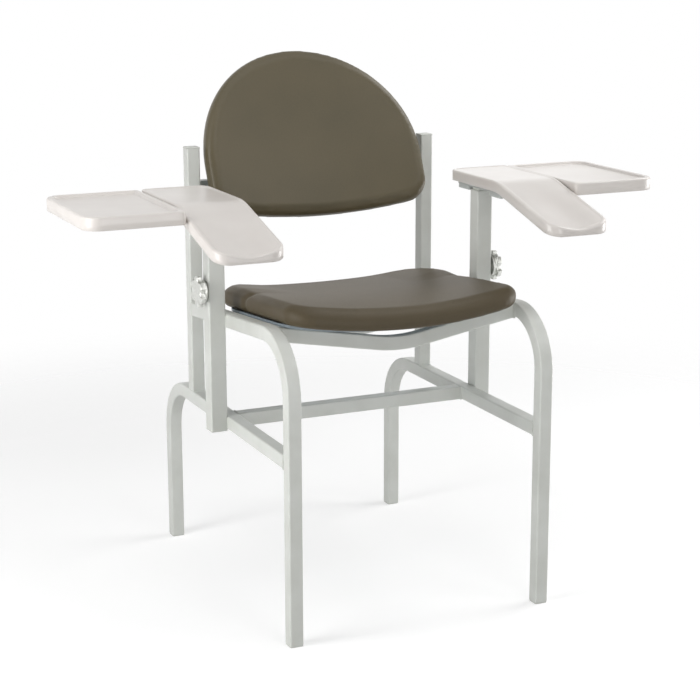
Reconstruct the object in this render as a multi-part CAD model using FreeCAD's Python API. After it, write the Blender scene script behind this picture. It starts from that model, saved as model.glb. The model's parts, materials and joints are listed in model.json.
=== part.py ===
import FreeCAD, Part
import math
import os

# Phlebotomy chair: a square-tube frame with bent legs, a saddle seat, a reclined
# half-round back, and two height-adjustable arms, each with a forearm shell and a tray.
# Millimetres, +Z up, X across the chair (+X is the sitter's left), the sitter faces -Y.
# Origin: on the floor, under the middle of the leg rectangle.

# Frame tube
frame_width = 515.0
frame_depth = 657.0
tube_size = 25.4
tube_wall = 1.6
tube_corner_radius = 3.0
bend_radius = 97.3
cut_overrun = 5.0

# Frame heights and places
seat_rail_height = 533.5
lower_rail_drop = 189.5
seat_rail_slope_degrees = 4.9
back_post_inset = 146.1
back_post_rise = 280.5
stretcher_shift = 13.8

# Feet and caps
foot_lip = 3.0
foot_lip_inset = 0.5
plug_depth = 22.0
plug_clearance = 0.15
cap_lip = 3.0
cap_overhang = 0.4
cap_edge_radius = 1.2

# Seat crossbars
crossbar_slope_degrees = 9.9
crossbar_bend_radius = 260.0
crossbar_drop = 3.5
front_crossbar_setback = 114.5
rear_crossbar_shift = 14.0

# Seat pan
pan_radius = 1100.0
pan_thickness = 5.0
pan_side_gap = 6.1
pan_front_setback = 90.0
pan_rear_gap = 22.0
pan_front_corner = 40.0
pan_rear_corner = 140.0
pan_seat_gap = 0.3
seat_screw_inset = 78.0

# Seat cushion
cushion_side_gap = 5.6
cushion_front_setback = 38.0
cushion_front_bow = 12.0
cushion_rear_gap = 5.0
cushion_thickness = 37.0
cushion_nose = 26.0
cushion_top_radius = 1167.0
cushion_rear_lift = 5.0
cushion_rear_top_radius = 2335.0
cushion_front_corner = 38.0
cushion_rear_corner = 52.0
cushion_crown = 3.0
cushion_gap = 0.3

# Back rest
back_tilt_degrees = 26.5
back_rise = 212.8
back_setback = 1.1
back_dish_radius = 1250.0
back_side_gap = 7.1
back_arch_rise = 234.3
back_arch_start = 25.4
back_bottom_drop = 78.4
back_bottom_bow = 17.1
back_bottom_corner = 38.2
back_nose = 20.0
back_front_offset = 18.0
back_rear_offset = 15.0
back_crown = 4.0
back_board_thickness = 6.0
back_board_inset = 12.0
back_board_drop = 52.0
back_board_corner = 34.0
back_gap = 0.3

# Back brackets
back_bracket_width = 32.0
back_bracket_thickness = 5.0
back_bracket_place = 80.0
back_bracket_rise = 92.0
back_bracket_foot = 20.0
back_screw_low = 32.0
back_screw_rise = 76.0

# Arm sleeve and the bushings that guide the arm tube
sleeve_size = 31.75
sleeve_wall = 1.65
sleeve_shift = 19.2
sleeve_rise = 192.9
sleeve_plug_lip = 2.0
arm_travel = 150.0
bushing_length = 45.0
bushing_lip = 2.6
bushing_clearance = 0.08
bushing_fit = 0.05
bushing_grip = 40.0
lower_bushing_drop = 182.0

# Clamp knob, its stud and the boss on the sleeve
knob_drop = 146.9
knob_diameter = 57.0
knob_thickness = 10.0
knob_lobes = 6
knob_scallop_radius = 8.5
knob_scallop_bite = 6.5
knob_flange_diameter = 42.0
knob_flange_thickness = 5.5
knob_edge_radius = 1.8
stud_diameter = 10.0
stud_clearance = 0.05
stud_tip_gap = 0.3
stud_depth_in_knob = 9.0
boss_diameter = 18.0
boss_length = 3.1
knob_boss_gap = 0.4

# Arm plate and the two bars that carry the tray
arm_rest_gap = 4.3
bar_thickness = 7.5
bar_width = 45.0
bar_corner = 8.0
bar_inner_inset = 0.5
bar_reach = 262.5
rear_bar_offset = 46.7
front_bar_offset = 78.3
arm_plate_thickness = 3.0
arm_plate_width = 30.0
arm_plate_margin = 5.0
arm_plate_corner = 4.0

# Armrest shell
armrest_inner_inset = 7.5
armrest_width = 127.0
armrest_rear_reach = 94.2
armrest_front_reach = 300.8
armrest_bend_reach = 80.8
armrest_bend_radius = 150.0
armrest_slope_degrees = 15.3
armrest_height = 20.0
armrest_skin = 3.5
armrest_seat_gap = 2.2
armrest_front_corner = 28.0
armrest_rear_corner = 25.0
armrest_notch_corner = 9.0
armrest_edge_radius = 3.2
armrest_boss_diameter = 14.0
trough_depth = 9.0
trough_half_width = 53.0

# Tray
tray_gap = 3.0
tray_width = 176.5
tray_rear_reach = 99.2
tray_front_reach = 170.8
tray_height = 23.5
tray_skin = 3.5
tray_corner = 30.0
tray_notch_corner = 9.0
tray_edge_radius = 2.5
tray_recess_depth = 5.0
tray_recess_margin = 10.0
tray_recess_wall = 4.0
tray_boss_diameter = 14.0
tray_screw_inset = 42.0
tray_screw_spacing = 70.0

# Screws
screw_diameter = 6.0
screw_head_diameter = 12.0
screw_head_height = 3.6
screw_socket_size = 4.6
screw_socket_depth = 2.0
screw_clearance = 0.2
screw_thread_clearance = 0.05
screw_access_clearance = 1.5
screw_engagement = 9.0
screw_tip_gap = 0.5

# Shares of a length
diagonal_share = math.sqrt(0.5)
cushion_waist_share = 0.44
screw_crown_share = 0.7
inner_station_shares = (0.84, 0.68, 0.5, 0.25)
nose_station_degrees = (8, 28, 48, 68, 90)
upward_share = 0.9

# Values worked out from the sizes above
seat_slope = math.radians(seat_rail_slope_degrees)
crossbar_slope = math.radians(crossbar_slope_degrees)
back_tilt = math.radians(back_tilt_degrees)
armrest_slope = math.radians(armrest_slope_degrees)
half_width = frame_width / 2
half_depth = frame_depth / 2
half_tube = tube_size / 2
tube_inside = tube_size - 2 * tube_wall
side_place = half_width - half_tube
inner_face = half_width - tube_size
lower_rail_top = seat_rail_height - lower_rail_drop
lower_rail_middle = lower_rail_top - half_tube
back_post_top = seat_rail_height + back_post_rise
back_post_rear = half_depth - back_post_inset
back_post_front = back_post_rear - tube_size
pan_half_width = inner_face - pan_side_gap
pan_contact = pan_radius * math.sin(crossbar_slope)
pan_centre_height = (
    pan_seat_gap
    - crossbar_drop
    - (inner_face - pan_contact) * math.tan(crossbar_slope)
    + pan_radius * math.cos(crossbar_slope)
)
cushion_half_width = inner_face - cushion_side_gap
cushion_base_radius = pan_radius - pan_thickness - cushion_gap
cushion_front = -half_depth + cushion_front_setback
cushion_rear = back_post_front - cushion_rear_gap
back_half_width = inner_face - back_side_gap
back_place = back_post_front + back_setback
back_height = seat_rail_height + back_rise
back_board_front_radius = back_dish_radius + back_rear_offset + back_gap
back_board_rear_radius = back_board_front_radius + back_board_thickness
back_bracket_front_radius = back_board_rear_radius + back_gap
back_bracket_rear_radius = back_bracket_front_radius + back_bracket_thickness
sleeve_place = half_width + sleeve_size / 2
sleeve_outer_face = half_width + sleeve_size
sleeve_inside = sleeve_size - 2 * sleeve_wall
sleeve_bottom = lower_rail_top - tube_size
sleeve_top = seat_rail_height + sleeve_rise
knob_height = sleeve_top - knob_drop
arm_bar_top = sleeve_top + bushing_lip + arm_rest_gap
arm_plate_top = arm_bar_top + arm_plate_thickness
arm_tube_bottom = sleeve_top - lower_bushing_drop - bushing_grip - arm_travel
armrest_top = arm_plate_top + armrest_seat_gap + armrest_height
armrest_inner = half_width - armrest_inner_inset
armrest_outer = armrest_inner + armrest_width
tray_inner = armrest_outer + tray_gap
tray_outer = tray_inner + tray_width
tray_top = arm_bar_top + tray_height
X_AXIS = FreeCAD.Vector(1, 0, 0)
Y_AXIS = FreeCAD.Vector(0, 1, 0)
Z_AXIS = FreeCAD.Vector(0, 0, 1)
ORIGIN = FreeCAD.Vector(0, 0, 0)


def vec(x, y, z):
    return FreeCAD.Vector(x, y, z)


def block(x_range, y_range, z_range):
    """Box between two places on each axis."""
    size = [high - low for low, high in (x_range, y_range, z_range)]
    corner = vec(x_range[0], y_range[0], z_range[0])
    return Part.makeBox(size[0], size[1], size[2], corner)


def join(pieces):
    """One solid out of pieces that touch or overlap."""
    return pieces[0].multiFuse(pieces[1:]).removeSplitter()


def mirrored(shape):
    return shape.mirror(ORIGIN, X_AXIS)


def pair(shape):
    """The piece on the sitter's left and its twin on the right."""
    return [shape, mirrored(shape)]


def rounded_outline(points, radii):
    """Closed outline of straight sides, each corner rounded by its own radius."""
    count = len(points)
    arcs = []
    for index in range(count):
        corner = points[index]
        radius = radii[index]
        before = (points[index - 1] - corner).normalize()
        after = (points[(index + 1) % count] - corner).normalize()
        half_angle = before.getAngle(after) / 2
        reach = radius / math.tan(half_angle)
        inward = (before + after).normalize()
        top = corner + inward * (radius / math.sin(half_angle) - radius)
        arcs.append((corner + before * reach, top, corner + after * reach))
    edges = []
    for index in range(count):
        start, top, end = arcs[index]
        edges.append(Part.Arc(start, top, end).toShape())
        edges.append(Part.makeLine(end, arcs[(index + 1) % count][0]))
    return Part.Wire(edges)


def square_outline(centre, across, along, size, radius):
    """Rounded square around centre, its sides along two directions."""
    half = size / 2
    signs = ((1, 1), (-1, 1), (-1, -1), (1, -1))
    points = [centre + across * (half * a) + along * (half * b) for a, b in signs]
    return rounded_outline(points, [radius] * len(points))


def plan_outline(x_range, y_range, height, radii):
    """Rounded rectangle at a height; radii from the near-inner corner round by +X."""
    points = [
        vec(x_range[0], y_range[0], height),
        vec(x_range[1], y_range[0], height),
        vec(x_range[1], y_range[1], height),
        vec(x_range[0], y_range[1], height),
    ]
    return rounded_outline(points, radii)


def tube_face(centre, across, along, size, wall):
    """Cross-section of a hollow square tube."""
    outer = square_outline(centre, across, along, size, tube_corner_radius)
    inner_size = size - 2 * wall
    inner = square_outline(centre, across, along, inner_size, tube_corner_radius - wall)
    return Part.makeFace([outer, inner], "Part::FaceMakerBullseye")


def straight_tube(start, run, across, along, size, wall):
    return tube_face(start, across, along, size, wall).extrude(run)


def bore(place, direction, before, after, diameter):
    """Cylinder along direction, from before the place to after it."""
    start = place - direction * before
    return Part.makeCylinder(diameter / 2, before + after, start, direction)


def screw(seat, direction, length):
    """Button-head screw: the head's underside on seat, the shank along direction."""
    outward = direction * -1
    radius = screw_head_diameter / 2
    crown = radius * screw_crown_share
    head = Part.makeCone(radius, crown, screw_head_height, seat, outward)
    shank = Part.makeCylinder(screw_diameter / 2, length, seat, direction)
    top = seat + outward * screw_head_height
    socket = Part.makeCylinder(screw_socket_size / 2, screw_socket_depth, top, direction)
    return head.fuse(shank).removeSplitter().cut(socket)


def screw_hole(seat, direction, length):
    """Clearance bore for a screw's shank, open at both ends."""
    diameter = screw_diameter + 2 * screw_clearance
    return bore(seat, direction, cut_overrun, length + cut_overrun, diameter)


def thread_hole(seat, direction, length):
    """Bore in which a screw's thread holds, a little deeper than the screw."""
    diameter = screw_diameter + 2 * screw_thread_clearance
    return bore(seat, direction, cut_overrun, length + screw_tip_gap, diameter)


def rim_edges(shape):
    """Edges around the skin of a shape that looks up."""
    upper = []
    for face in shape.Faces:
        u0, u1, v0, v1 = face.ParameterRange
        if face.normalAt((u0 + u1) / 2, (v0 + v1) / 2).z > upward_share:
            upper.extend(face.Edges)
    return [edge for edge in upper if sum(edge.isSame(other) for other in upper) == 1]


def write(name, pieces):
    """One STEP file for one piece, or for several like ones."""
    shape = pieces[0] if len(pieces) == 1 else Part.makeCompound(pieces)
    shape.exportStep("parts/" + name + ".step")


# Frame

def rear_leg():
    """Leg that stands up, bends forward and runs on as the lower rail."""
    foot = vec(side_place, half_depth - half_tube, foot_lip)
    centre = vec(side_place, foot.y - bend_radius, lower_rail_middle - bend_radius)
    rise = Z_AXIS * (centre.z - foot_lip)
    upright = straight_tube(foot, rise, X_AXIS, Y_AXIS, tube_size, tube_wall)
    bend_start = tube_face(foot + rise, X_AXIS, Y_AXIS, tube_size, tube_wall)
    bend = bend_start.revolve(centre, X_AXIS, 90)
    rail_start = centre + Z_AXIS * bend_radius
    rail_run = Y_AXIS * (-half_depth + tube_size - centre.y)
    rail = straight_tube(rail_start, rail_run, X_AXIS, Z_AXIS, tube_size, tube_wall)
    return join([upright, bend, rail])


def front_leg():
    """Leg that stands up, bends back and runs on as the sloping seat rail."""
    foot = vec(side_place, -half_depth + half_tube, foot_lip)
    centre_y = foot.y + bend_radius
    reach = bend_radius + half_tube
    below = (reach + math.sin(seat_slope) * centre_y) / math.cos(seat_slope)
    centre = vec(side_place, centre_y, seat_rail_height - below)
    rise = Z_AXIS * (centre.z - foot_lip)
    upright = straight_tube(foot, rise, X_AXIS, Y_AXIS, tube_size, tube_wall)
    bend_start = tube_face(foot + rise, X_AXIS, Y_AXIS, tube_size, tube_wall)
    bend = bend_start.revolve(centre, X_AXIS * -1, 90 + seat_rail_slope_degrees)
    normal = vec(0, math.sin(seat_slope), math.cos(seat_slope))
    down_back = vec(0, math.cos(seat_slope), -math.sin(seat_slope))
    rail_start = centre + normal * bend_radius
    length = back_post_front - rail_start.y + tube_size
    rail = straight_tube(
        rail_start, down_back * length, X_AXIS, normal, tube_size, tube_wall
    )
    behind = block(
        (inner_face - cut_overrun, half_width + cut_overrun),
        (back_post_front, back_post_front + length),
        (lower_rail_top, back_post_top),
    )
    return join([upright, bend, rail]).cut(behind)


def back_post():
    foot = vec(side_place, back_post_rear - half_tube, lower_rail_top)
    run = Z_AXIS * (back_post_top - lower_rail_top)
    return straight_tube(foot, run, X_AXIS, Y_AXIS, tube_size, tube_wall)


def plug(end, inward, inside, lip_size, lip, corner):
    """Moulded plug: a shank in a tube end and a lip outside it."""
    shank_size = inside - 2 * plug_clearance
    shank_outline = square_outline(end, X_AXIS, Y_AXIS, shank_size, corner - tube_wall)
    shank = Part.Face(shank_outline).extrude(inward * plug_depth)
    lip_outline = square_outline(end, X_AXIS, Y_AXIS, lip_size, corner)
    lip_solid = Part.Face(lip_outline).extrude(inward * -lip)
    return shank, lip_solid


def foot_glides():
    glides = []
    for place in (-half_depth + half_tube, half_depth - half_tube):
        end = vec(side_place, place, foot_lip)
        lip_size = tube_size - 2 * foot_lip_inset
        pieces = plug(end, Z_AXIS, tube_inside, lip_size, foot_lip, tube_corner_radius)
        glides.extend(pair(join(list(pieces))))
    return glides


def back_post_cap():
    end = vec(side_place, back_post_rear - half_tube, back_post_top)
    lip_size = tube_size + 2 * cap_overhang
    inward = Z_AXIS * -1
    shank, lip = plug(end, inward, tube_inside, lip_size, cap_lip, tube_corner_radius)
    lip = lip.makeFillet(cap_edge_radius, rim_edges(lip))
    return join([shank, lip])


def lower_stretcher():
    start = vec(-inner_face, -stretcher_shift, lower_rail_middle)
    run = X_AXIS * (2 * inner_face)
    return straight_tube(start, run, Y_AXIS, Z_AXIS, tube_size, tube_wall)


# Seat, drawn level and then tilted onto the seat rails

def onto_rails(shape):
    tilted = shape.copy()
    tilted.rotate(ORIGIN, X_AXIS, -seat_rail_slope_degrees)
    tilted.translate(Z_AXIS * seat_rail_height)
    return tilted


def level_place(y):
    """Distance along the sloping rails for a level distance back."""
    return y / math.cos(seat_slope)


def crossbar_screw_seats(place):
    """Where the screw heads sit inside a crossbar, with their directions."""
    lift = vec(-math.sin(crossbar_slope), 0, math.cos(crossbar_slope))
    height = -crossbar_drop - seat_screw_inset * math.tan(crossbar_slope)
    top = vec(inner_face - seat_screw_inset, place, height)
    return top - lift * tube_wall, lift


def crossbar(place):
    """Tube that runs down from each rail to a bend in the middle."""
    end_middle = -crossbar_drop - half_tube / math.cos(crossbar_slope)
    end = vec(inner_face, place, end_middle)
    outward = vec(math.cos(crossbar_slope), 0, math.sin(crossbar_slope))
    normal = vec(-math.sin(crossbar_slope), 0, math.cos(crossbar_slope))
    bend_reach = crossbar_bend_radius * math.sin(crossbar_slope)
    straight = (inner_face - bend_reach) / math.cos(crossbar_slope)
    start = end + outward * tube_size
    run = outward * -(straight + tube_size)
    arm = straight_tube(start, run, Y_AXIS, normal, tube_size, tube_wall)
    bend_start = tube_face(start + run, Y_AXIS, normal, tube_size, tube_wall)
    centre = start + run + normal * crossbar_bend_radius
    bend = bend_start.revolve(centre, Y_AXIS, 2 * crossbar_slope_degrees)
    bar = join([arm, bend, mirrored(arm)])
    between = block(
        (-inner_face, inner_face),
        (place - tube_size, place + tube_size),
        (-pan_radius, pan_radius),
    )
    bar = bar.common(between)
    seat, lift = crossbar_screw_seats(place)
    access = screw_head_diameter + 2 * screw_access_clearance
    for hole in pair(screw_hole(seat, lift, tube_wall)):
        bar = bar.cut(hole)
    for hole in pair(bore(seat - lift * tube_wall, lift, tube_size, 0, access)):
        bar = bar.cut(hole)
    return onto_rails(bar)


def seat_screw_length():
    return tube_wall + pan_seat_gap + pan_thickness - screw_tip_gap


def seat_screws(place):
    seat, lift = crossbar_screw_seats(place)
    return [onto_rails(piece) for piece in pair(screw(seat, lift, seat_screw_length()))]


def dish_height(radius, x):
    """Height of a dish of a radius above its lowest point, x off its middle."""
    return radius - math.sqrt(radius * radius - x * x)


def dish_band(centre, low_radius, high_radius, edges, lift, run):
    """Bent plate: the band between two arcs about one centre, run along a straight."""
    first, last = edges
    corners = []
    for radius in (low_radius, high_radius):
        arc = []
        for x in (first, (first + last) / 2, last):
            arc.append(centre + X_AXIS * x - lift * math.sqrt(radius * radius - x * x))
        corners.append(arc)
    low, high = corners
    edge_list = [
        Part.Arc(low[0], low[1], low[2]).toShape(),
        Part.makeLine(low[2], high[2]),
        Part.Arc(high[2], high[1], high[0]).toShape(),
        Part.makeLine(high[0], low[0]),
    ]
    return Part.Face(Part.Wire(edge_list)).extrude(run)


def seat_pan(crossbar_places):
    front = -half_depth + pan_front_setback
    rear = back_post_front - pan_rear_gap
    centre = vec(0, front - cut_overrun, pan_centre_height)
    run = Y_AXIS * (rear - front + 2 * cut_overrun)
    beyond = pan_half_width + cut_overrun
    edges = (-beyond, beyond)
    band = dish_band(centre, pan_radius, pan_radius - pan_thickness, edges, Z_AXIS, run)
    radii = [pan_front_corner, pan_front_corner, pan_rear_corner, pan_rear_corner]
    sides = (-pan_half_width, pan_half_width)
    outline = plan_outline(sides, (front, rear), -pan_radius, radii)
    pan = band.common(Part.Face(outline).extrude(Z_AXIS * (2 * pan_radius)))
    for place in crossbar_places:
        seat, lift = crossbar_screw_seats(place)
        for hole in pair(thread_hole(seat, lift, seat_screw_length() + cut_overrun)):
            pan = pan.cut(hole)
    return onto_rails(pan)


def quarter_round(at, tip, waist, run, rise):
    """Quarter-round arc from a pad's tip, its edge line, to its face or its base."""
    slant = 1 - diagonal_share
    halfway = at(tip + run * slant, waist + rise * diagonal_share)
    return at(tip, waist), halfway, at(tip + run, waist + rise)


def pad_outline(at, ends, low, waist, highs, crown):
    """Slab outline: flat base, crowned face, and noses of two quarter rounds."""
    start, end = ends
    start_high, end_high = highs
    base = waist - low
    nose = start_high - waist
    tail = end_high - waist
    front_low = quarter_round(at, start, waist, base, -base)
    front_high = quarter_round(at, start, waist, nose, nose)
    rear_high = quarter_round(at, end, waist, -tail, tail)
    rear_low = quarter_round(at, end, waist, -base, -base)
    middle = (start + nose + end - tail) / 2
    top = at(middle, (start_high + end_high) / 2 + crown)
    edges = [
        Part.Arc(front_low[2], front_low[1], front_low[0]),
        Part.Arc(front_high[0], front_high[1], front_high[2]),
        Part.Arc(front_high[2], top, rear_high[2]),
        Part.Arc(rear_high[2], rear_high[1], rear_high[0]),
        Part.Arc(rear_low[0], rear_low[1], rear_low[2]),
    ]
    shapes = [edge.toShape() for edge in edges]
    shapes.append(Part.makeLine(rear_low[2], front_low[2]))
    return Part.Wire(shapes)


def stations(pad_half_width, nose):
    """Places across a cushion, closer together where its side rounds off."""
    outer = []
    for degrees in nose_station_degrees:
        turn = 1 - math.cos(math.radians(degrees))
        outer.append(pad_half_width - nose * turn)
    half = outer + [pad_half_width * share for share in inner_station_shares]
    return [-x for x in half] + [0] + half[::-1]


def side_fill(x, pad_half_width, nose):
    """Share of the full thickness left at x, where the side rounds off."""
    past = max(abs(x) - (pad_half_width - nose), 0)
    return math.sqrt(1 - (past / nose) * (past / nose))


def corner_retreat(x, pad_half_width, radius):
    """How far a rounded plan corner draws the edge back at x."""
    past = max(abs(x) - (pad_half_width - radius), 0)
    return radius - math.sqrt(radius * radius - past * past)


def seat_cushion():
    """Saddle pad with a dished face, crowned along, round all the way about."""
    wires = []
    base = pan_centre_height - cushion_base_radius
    for x in stations(cushion_half_width, cushion_nose):
        fill = side_fill(x, cushion_half_width, cushion_nose)
        low = base + dish_height(cushion_base_radius, x)
        high = base + cushion_thickness + dish_height(cushion_top_radius, x)
        rear_high = base + cushion_thickness + cushion_rear_lift
        rear_high += dish_height(cushion_rear_top_radius, x)
        waist = low + (high - low) * cushion_waist_share
        share = (x / cushion_half_width) * (x / cushion_half_width)
        start = cushion_front + cushion_front_bow * share
        start += corner_retreat(x, cushion_half_width, cushion_front_corner)
        end = cushion_rear - corner_retreat(x, cushion_half_width, cushion_rear_corner)

        def at(along, height, x=x):
            return vec(x, along, height)

        base_low = waist - (waist - low) * fill
        highs = (waist + (high - waist) * fill, waist + (rear_high - waist) * fill)
        crown = cushion_crown * fill
        wires.append(pad_outline(at, (start, end), base_low, waist, highs, crown))
    return onto_rails(Part.makeLoft(wires, True, False))


# Back rest, drawn in its own leaning frame

BACK_UP = vec(0, math.sin(back_tilt), math.cos(back_tilt))
BACK_FORWARD = vec(0, -math.cos(back_tilt), math.sin(back_tilt))
BACK_MIDDLE = vec(0, back_place, back_height)


def on_back(x, up, forward):
    return BACK_MIDDLE + X_AXIS * x + BACK_UP * up + BACK_FORWARD * forward


def back_crossbar_top():
    """Height at which the tube's rounded corner just clears the back board."""
    corner_y = back_post_rear + tube_corner_radius
    board_rear = back_rear_offset + back_gap + back_board_thickness
    below = board_rear + back_gap + tube_corner_radius
    drop = (below - (corner_y - back_place) * math.cos(back_tilt)) / math.sin(back_tilt)
    return back_height + tube_corner_radius - drop


def back_cushion():
    """Half-round pad, hollow to the sitter's back, round all the way about."""
    wires = []
    rear_radius = back_dish_radius + back_rear_offset
    front_radius = back_dish_radius - back_front_offset
    for x in stations(back_half_width, back_nose):
        fill = side_fill(x, back_half_width, back_nose)
        low = -back_rear_offset + dish_height(rear_radius, x)
        high = back_front_offset + dish_height(front_radius, x)
        waist = (low + high) / 2
        half = (high - low) / 2 * fill
        share = (x / back_half_width) * (x / back_half_width)
        bottom = -back_bottom_drop + back_bottom_bow * share
        bottom += corner_retreat(x, back_half_width, back_bottom_corner)
        top = back_arch_start + back_arch_rise * math.sqrt(1 - share)

        def at(along, forward, x=x):
            return on_back(x, along, forward)

        highs = (waist + half, waist + half)
        crown = back_crown * fill
        wires.append(pad_outline(at, (bottom, top), waist - half, waist, highs, crown))
    return Part.makeLoft(wires, True, False)


def back_board_outline():
    """Half ellipse over straight sides and two rounded lower corners."""
    side = back_half_width - back_board_inset
    rise = back_arch_rise - back_board_inset
    radius = back_board_corner
    slant = radius * (1 - diagonal_share)
    low = -back_board_drop
    behind = -back_dish_radius

    def at(x, up):
        return on_back(x, up, behind)

    middle = at(0, back_arch_start)
    top = at(0, back_arch_start + rise)
    corner = at(side, back_arch_start)
    if rise > side:
        arch = Part.ArcOfEllipse(Part.Ellipse(top, corner, middle), -math.pi / 2, math.pi / 2)
    else:
        arch = Part.ArcOfEllipse(Part.Ellipse(corner, top, middle), 0, math.pi)
    right = Part.Arc(
        at(side, low + radius), at(side - slant, low + slant), at(side - radius, low)
    )
    left = Part.Arc(
        at(-side + radius, low), at(-side + slant, low + slant), at(-side, low + radius)
    )
    edges = [
        arch.toShape(),
        Part.makeLine(at(side, back_arch_start), at(side, low + radius)),
        right.toShape(),
        Part.makeLine(at(side - radius, low), at(-side + radius, low)),
        left.toShape(),
        Part.makeLine(at(-side, low + radius), at(-side, back_arch_start)),
    ]
    return Part.Wire(Part.__sortEdges__(edges))


def back_screw_seats():
    """Where the screw heads sit behind the brackets, square to the bent plate."""
    outer = math.sqrt(
        back_bracket_rear_radius * back_bracket_rear_radius
        - back_bracket_place * back_bracket_place
    )
    inward = (BACK_FORWARD * outer - X_AXIS * back_bracket_place).normalize()
    seats = []
    for rise in (back_screw_low, back_screw_rise):
        seats.append(on_back(back_bracket_place, rise, back_dish_radius - outer))
    return seats, inward


def back_screw_length():
    return back_bracket_thickness + back_gap + back_board_thickness - 2 * screw_tip_gap


def back_board():
    side = back_half_width - back_board_inset
    low = -back_board_drop - cut_overrun
    centre = on_back(0, low, back_dish_radius)
    run = BACK_UP * (back_arch_start + back_arch_rise - low)
    band = dish_band(
        centre,
        back_board_rear_radius,
        back_board_front_radius,
        (-side - cut_overrun, side + cut_overrun),
        BACK_FORWARD,
        run,
    )
    prism = Part.Face(back_board_outline()).extrude(BACK_FORWARD * (2 * back_dish_radius))
    board = band.common(prism)
    seats, inward = back_screw_seats()
    for seat in seats:
        for hole in pair(thread_hole(seat, inward, back_screw_length())):
            board = board.cut(hole)
    return board


def back_bracket():
    """Plate bent to the board's rear, with a foot that lies on the back crossbar."""
    inner = back_bracket_place - back_bracket_width / 2
    outer = back_bracket_place + back_bracket_width / 2
    low = -back_height
    centre = on_back(0, low, back_dish_radius)
    run = BACK_UP * (back_bracket_rise - low)
    plate = dish_band(
        centre,
        back_bracket_rear_radius,
        back_bracket_front_radius,
        (inner, outer),
        BACK_FORWARD,
        run,
    )
    height = back_crossbar_top()
    above = block(
        (inner - cut_overrun, outer + cut_overrun),
        (-half_depth, half_depth),
        (height, back_height + back_arch_rise),
    )
    plate = plate.common(above)
    foot = block(
        (inner, outer),
        (back_post_rear + tube_corner_radius, back_post_rear + back_bracket_foot),
        (height, height + back_bracket_thickness),
    )
    bracket = join([plate, foot])
    seats, inward = back_screw_seats()
    for seat in seats:
        bracket = bracket.cut(screw_hole(seat, inward, back_bracket_thickness))
    return bracket


def back_screws():
    screws = []
    seats, inward = back_screw_seats()
    for seat in seats:
        screws.extend(pair(screw(seat, inward, back_screw_length())))
    return screws


def back_crossbar():
    """Tube across the rear faces of both back posts, its ends on their middles."""
    middle = back_crossbar_top() - half_tube
    start = vec(-side_place, back_post_rear + half_tube, middle)
    run = X_AXIS * (2 * side_place)
    return straight_tube(start, run, Y_AXIS, Z_AXIS, tube_size, tube_wall)


# Arm guides on the frame

def arm_sleeve():
    start = vec(sleeve_place, -sleeve_shift, sleeve_bottom)
    run = Z_AXIS * (sleeve_top - sleeve_bottom)
    sleeve = straight_tube(start, run, X_AXIS, Y_AXIS, sleeve_size, sleeve_wall)
    return sleeve.cut(stud_hole())


def stud_hole():
    place = vec(sleeve_outer_face, -sleeve_shift, knob_height)
    diameter = stud_diameter + 2 * stud_clearance
    return bore(place, X_AXIS, 2 * sleeve_wall, boss_length + cut_overrun, diameter)


def sleeve_plug():
    end = vec(sleeve_place, -sleeve_shift, sleeve_bottom)
    pieces = plug(
        end, Z_AXIS, sleeve_inside, sleeve_size, sleeve_plug_lip, tube_corner_radius
    )
    return join(list(pieces))


def bushing_ring(top, length, size):
    """Square ring around the arm tube, hung down from a height."""
    centre = vec(sleeve_place, -sleeve_shift, top)
    hole = tube_size + 2 * bushing_clearance
    hole_radius = tube_corner_radius + bushing_clearance
    outer = square_outline(centre, X_AXIS, Y_AXIS, size, tube_corner_radius)
    inner = square_outline(centre, X_AXIS, Y_AXIS, hole, hole_radius)
    face = Part.makeFace([outer, inner], "Part::FaceMakerBullseye")
    return face.extrude(Z_AXIS * -length)


def sleeve_bushings():
    size = sleeve_inside - 2 * bushing_fit
    upper = bushing_ring(sleeve_top, bushing_length, size)
    collar = bushing_ring(sleeve_top + bushing_lip, bushing_lip, sleeve_size)
    lower = bushing_ring(sleeve_top - lower_bushing_drop, bushing_length, size)
    return [join([upper, collar]), lower]


def clamp_boss():
    place = vec(sleeve_outer_face, -sleeve_shift, knob_height)
    boss = Part.makeCylinder(boss_diameter / 2, boss_length, place, X_AXIS)
    return boss.cut(stud_hole())


# Clamp knob

def knob():
    """Lobed disc with a round flange behind it, bored for the stud."""
    behind = sleeve_outer_face + boss_length + knob_boss_gap
    foot = vec(behind, -sleeve_shift, knob_height)
    start = foot + X_AXIS * knob_flange_thickness
    radius = knob_diameter / 2
    body = Part.makeCylinder(radius, knob_thickness, start, X_AXIS)
    reach = radius + knob_scallop_radius - knob_scallop_bite
    for index in range(knob_lobes):
        angle = 2 * math.pi * index / knob_lobes
        offset = Y_AXIS * (reach * math.cos(angle)) + Z_AXIS * (reach * math.sin(angle))
        scallop = bore(
            start + offset,
            X_AXIS,
            cut_overrun,
            knob_thickness + cut_overrun,
            2 * knob_scallop_radius,
        )
        body = body.cut(scallop)
    ends = [edge for edge in body.Edges if edge.BoundBox.XLength < knob_edge_radius]
    body = body.makeFillet(knob_edge_radius, ends)
    flange_length = knob_flange_thickness + knob_edge_radius
    flange = Part.makeCylinder(knob_flange_diameter / 2, flange_length, foot, X_AXIS)
    stud_diameter_fit = stud_diameter + 2 * stud_clearance
    hole = bore(foot, X_AXIS, cut_overrun, stud_depth_in_knob, stud_diameter_fit)
    return join([body, flange]).cut(hole)


def knob_stud():
    """Threaded stud from inside the knob to the face of the arm tube."""
    tube_face_place = sleeve_place + half_tube + stud_tip_gap
    end = sleeve_outer_face + boss_length + knob_boss_gap + stud_depth_in_knob
    start = vec(tube_face_place, -sleeve_shift, knob_height)
    length = end - tube_face_place - screw_tip_gap
    return Part.makeCylinder(stud_diameter / 2, length, start, X_AXIS)


# Arm

def bar_places():
    return (-sleeve_shift + rear_bar_offset, -sleeve_shift - front_bar_offset)


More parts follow.
